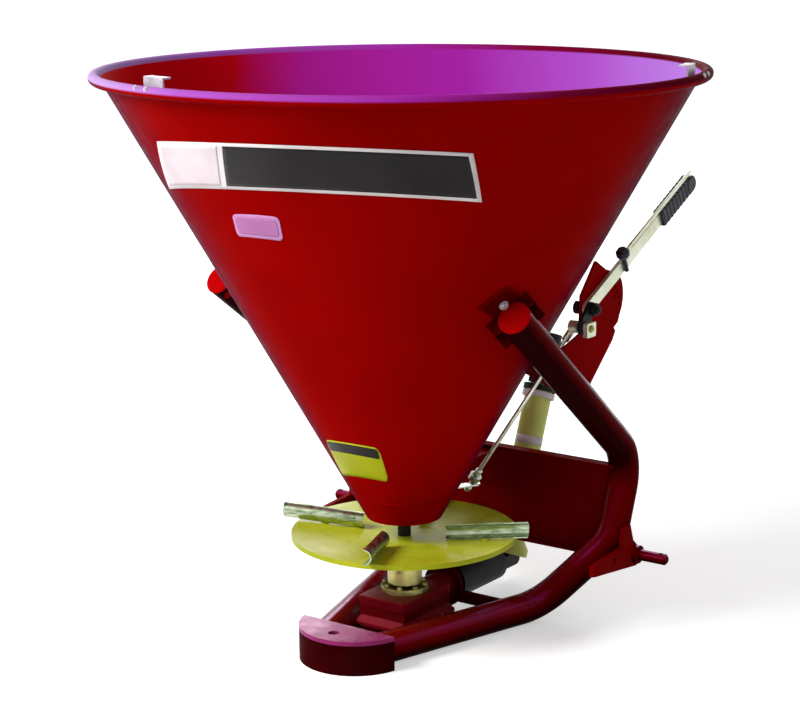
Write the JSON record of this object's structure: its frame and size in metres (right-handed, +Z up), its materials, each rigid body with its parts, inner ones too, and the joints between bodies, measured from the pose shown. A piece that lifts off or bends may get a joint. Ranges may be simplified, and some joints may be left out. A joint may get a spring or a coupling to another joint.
{
  "type": "cone broadcast spreader",
  "caption": "Tractor-mounted broadcast spreader: sheet cone hopper, vaned spinning disc, lever-worked shutter, bent tube frame, three-point hitch and folding drive shaft.",
  "frame": {"origin": "on the ground below the axis shared by the hopper and the spinning disc", "axes": "+X forwards to the tractor, +Y to the left, +Z up"},
  "size_m": [1.1312, 1.1308, 1.104],
  "materials": {
    "red_paint": "gloss",
    "cast_red": "painted",
    "yellow_paint": "gloss",
    "zinc": "zinc plated",
    "gold_zinc": "yellow chromate",
    "black_steel": "satin",
    "black_plastic": "matte",
    "guard_plastic": "matte"
  },
  "bodies": {
    "chassis": {"hopper": "red_paint", "hopper_floor": "red_paint", "hopper_stay": "red_paint", "rim_clip_1": "red_paint", "rim_clip_2": "red_paint", "side_tube_left": "red_paint", "side_tube_right": "red_paint", "arm_bracket_left": "red_paint", "arm_bracket_right": "red_paint", "carrier_bar": "black_steel", "cross_panel": "red_paint", "gearbox": "cast_red", "gearbox_base": "red_paint", "gearbox_cap": "gold_zinc", "hitch_cheek_left": "red_paint", "hitch_cheek_right": "red_paint", "input_fork": "black_steel", "input_shaft": "black_steel", "input_shield": "black_plastic", "lever_pivot": "black_steel", "link_pin_left": "zinc", "link_pin_right": "zinc", "mast_saddle": "red_paint", "mast_ear_left": "red_paint", "mast_ear_right": "red_paint", "mast_stay_left": "red_paint", "mast_stay_right": "red_paint", "nose_foot": "red_paint", "nose_skirt": "red_paint", "nose_top": "red_paint", "quadrant_plate": "red_paint"},
    "spinner": {"agitator": "black_steel", "spinner_disc": "yellow_paint", "spinner_hub": "gold_zinc", "spinner_shaft": "black_steel", "vane_1": "zinc", "vane_2": "zinc", "vane_3": "zinc", "vane_4": "zinc"},
    "lever": {"lever_bar": "zinc", "lever_grip": "black_plastic", "latch_knob": "black_plastic", "lever_crank": "zinc", "crank_ball": "zinc"},
    "rod": {"control_rod": "zinc", "rod_socket": "zinc", "rod_nut_upper": "zinc", "rod_nut_lower": "zinc"},
    "shutter": {"shutter_plate": "zinc", "shutter_arm": "zinc"},
    "drive_lower": {"drive_fork": "black_steel", "lower_cross": "black_steel", "drive_bar": "black_steel", "guard_lower": "guard_plastic"},
    "drive_upper": {"drive_sleeve": "black_steel", "guard_upper": "guard_plastic", "tractor_fork": "black_steel", "upper_cross": "black_steel", "tractor_yoke": "black_steel"}
  },
  "joints": [
    {"name": "spinner_spin", "type": "hinge", "parent": "chassis", "child": "spinner", "pos_m": [0, 0, 0.2], "axis": [0, 0, 1], "continuous": true},
    {"name": "lever_swing", "type": "hinge", "parent": "chassis", "child": "lever", "pos_m": [0.134, -0.321, 0.652], "axis": [0, 1, 0], "range_deg": [0, 32]},
    {"name": "rod_swing", "type": "hinge", "parent": "lever", "child": "rod", "pos_m": [0.1043, -0.311, 0.6223], "axis": [0.15, 0.9871, 0.0553], "range_deg": [-31, 0]},
    {"name": "shutter_turn", "type": "hinge", "parent": "chassis", "child": "shutter", "pos_m": [0, 0, 0.281], "axis": [0, 0, 1], "range_deg": [-14, 0]},
    {"name": "drive_swing", "type": "hinge", "parent": "chassis", "child": "drive_lower", "pos_m": [0.352, 0, 0.058], "axis": [0, 1, 0], "range_deg": [0, 68]},
    {"name": "drive_slide", "type": "slide", "parent": "drive_lower", "child": "drive_upper", "axis": [0.3778, 0, 0.9259], "range_m": [0, 0.1]}
  ],
  "couplings": [
    {"joint": "rod_swing", "follows": "lever_swing", "ratio": -0.958},
    {"joint": "shutter_turn", "follows": "lever_swing", "ratio": -0.415}
  ]
}
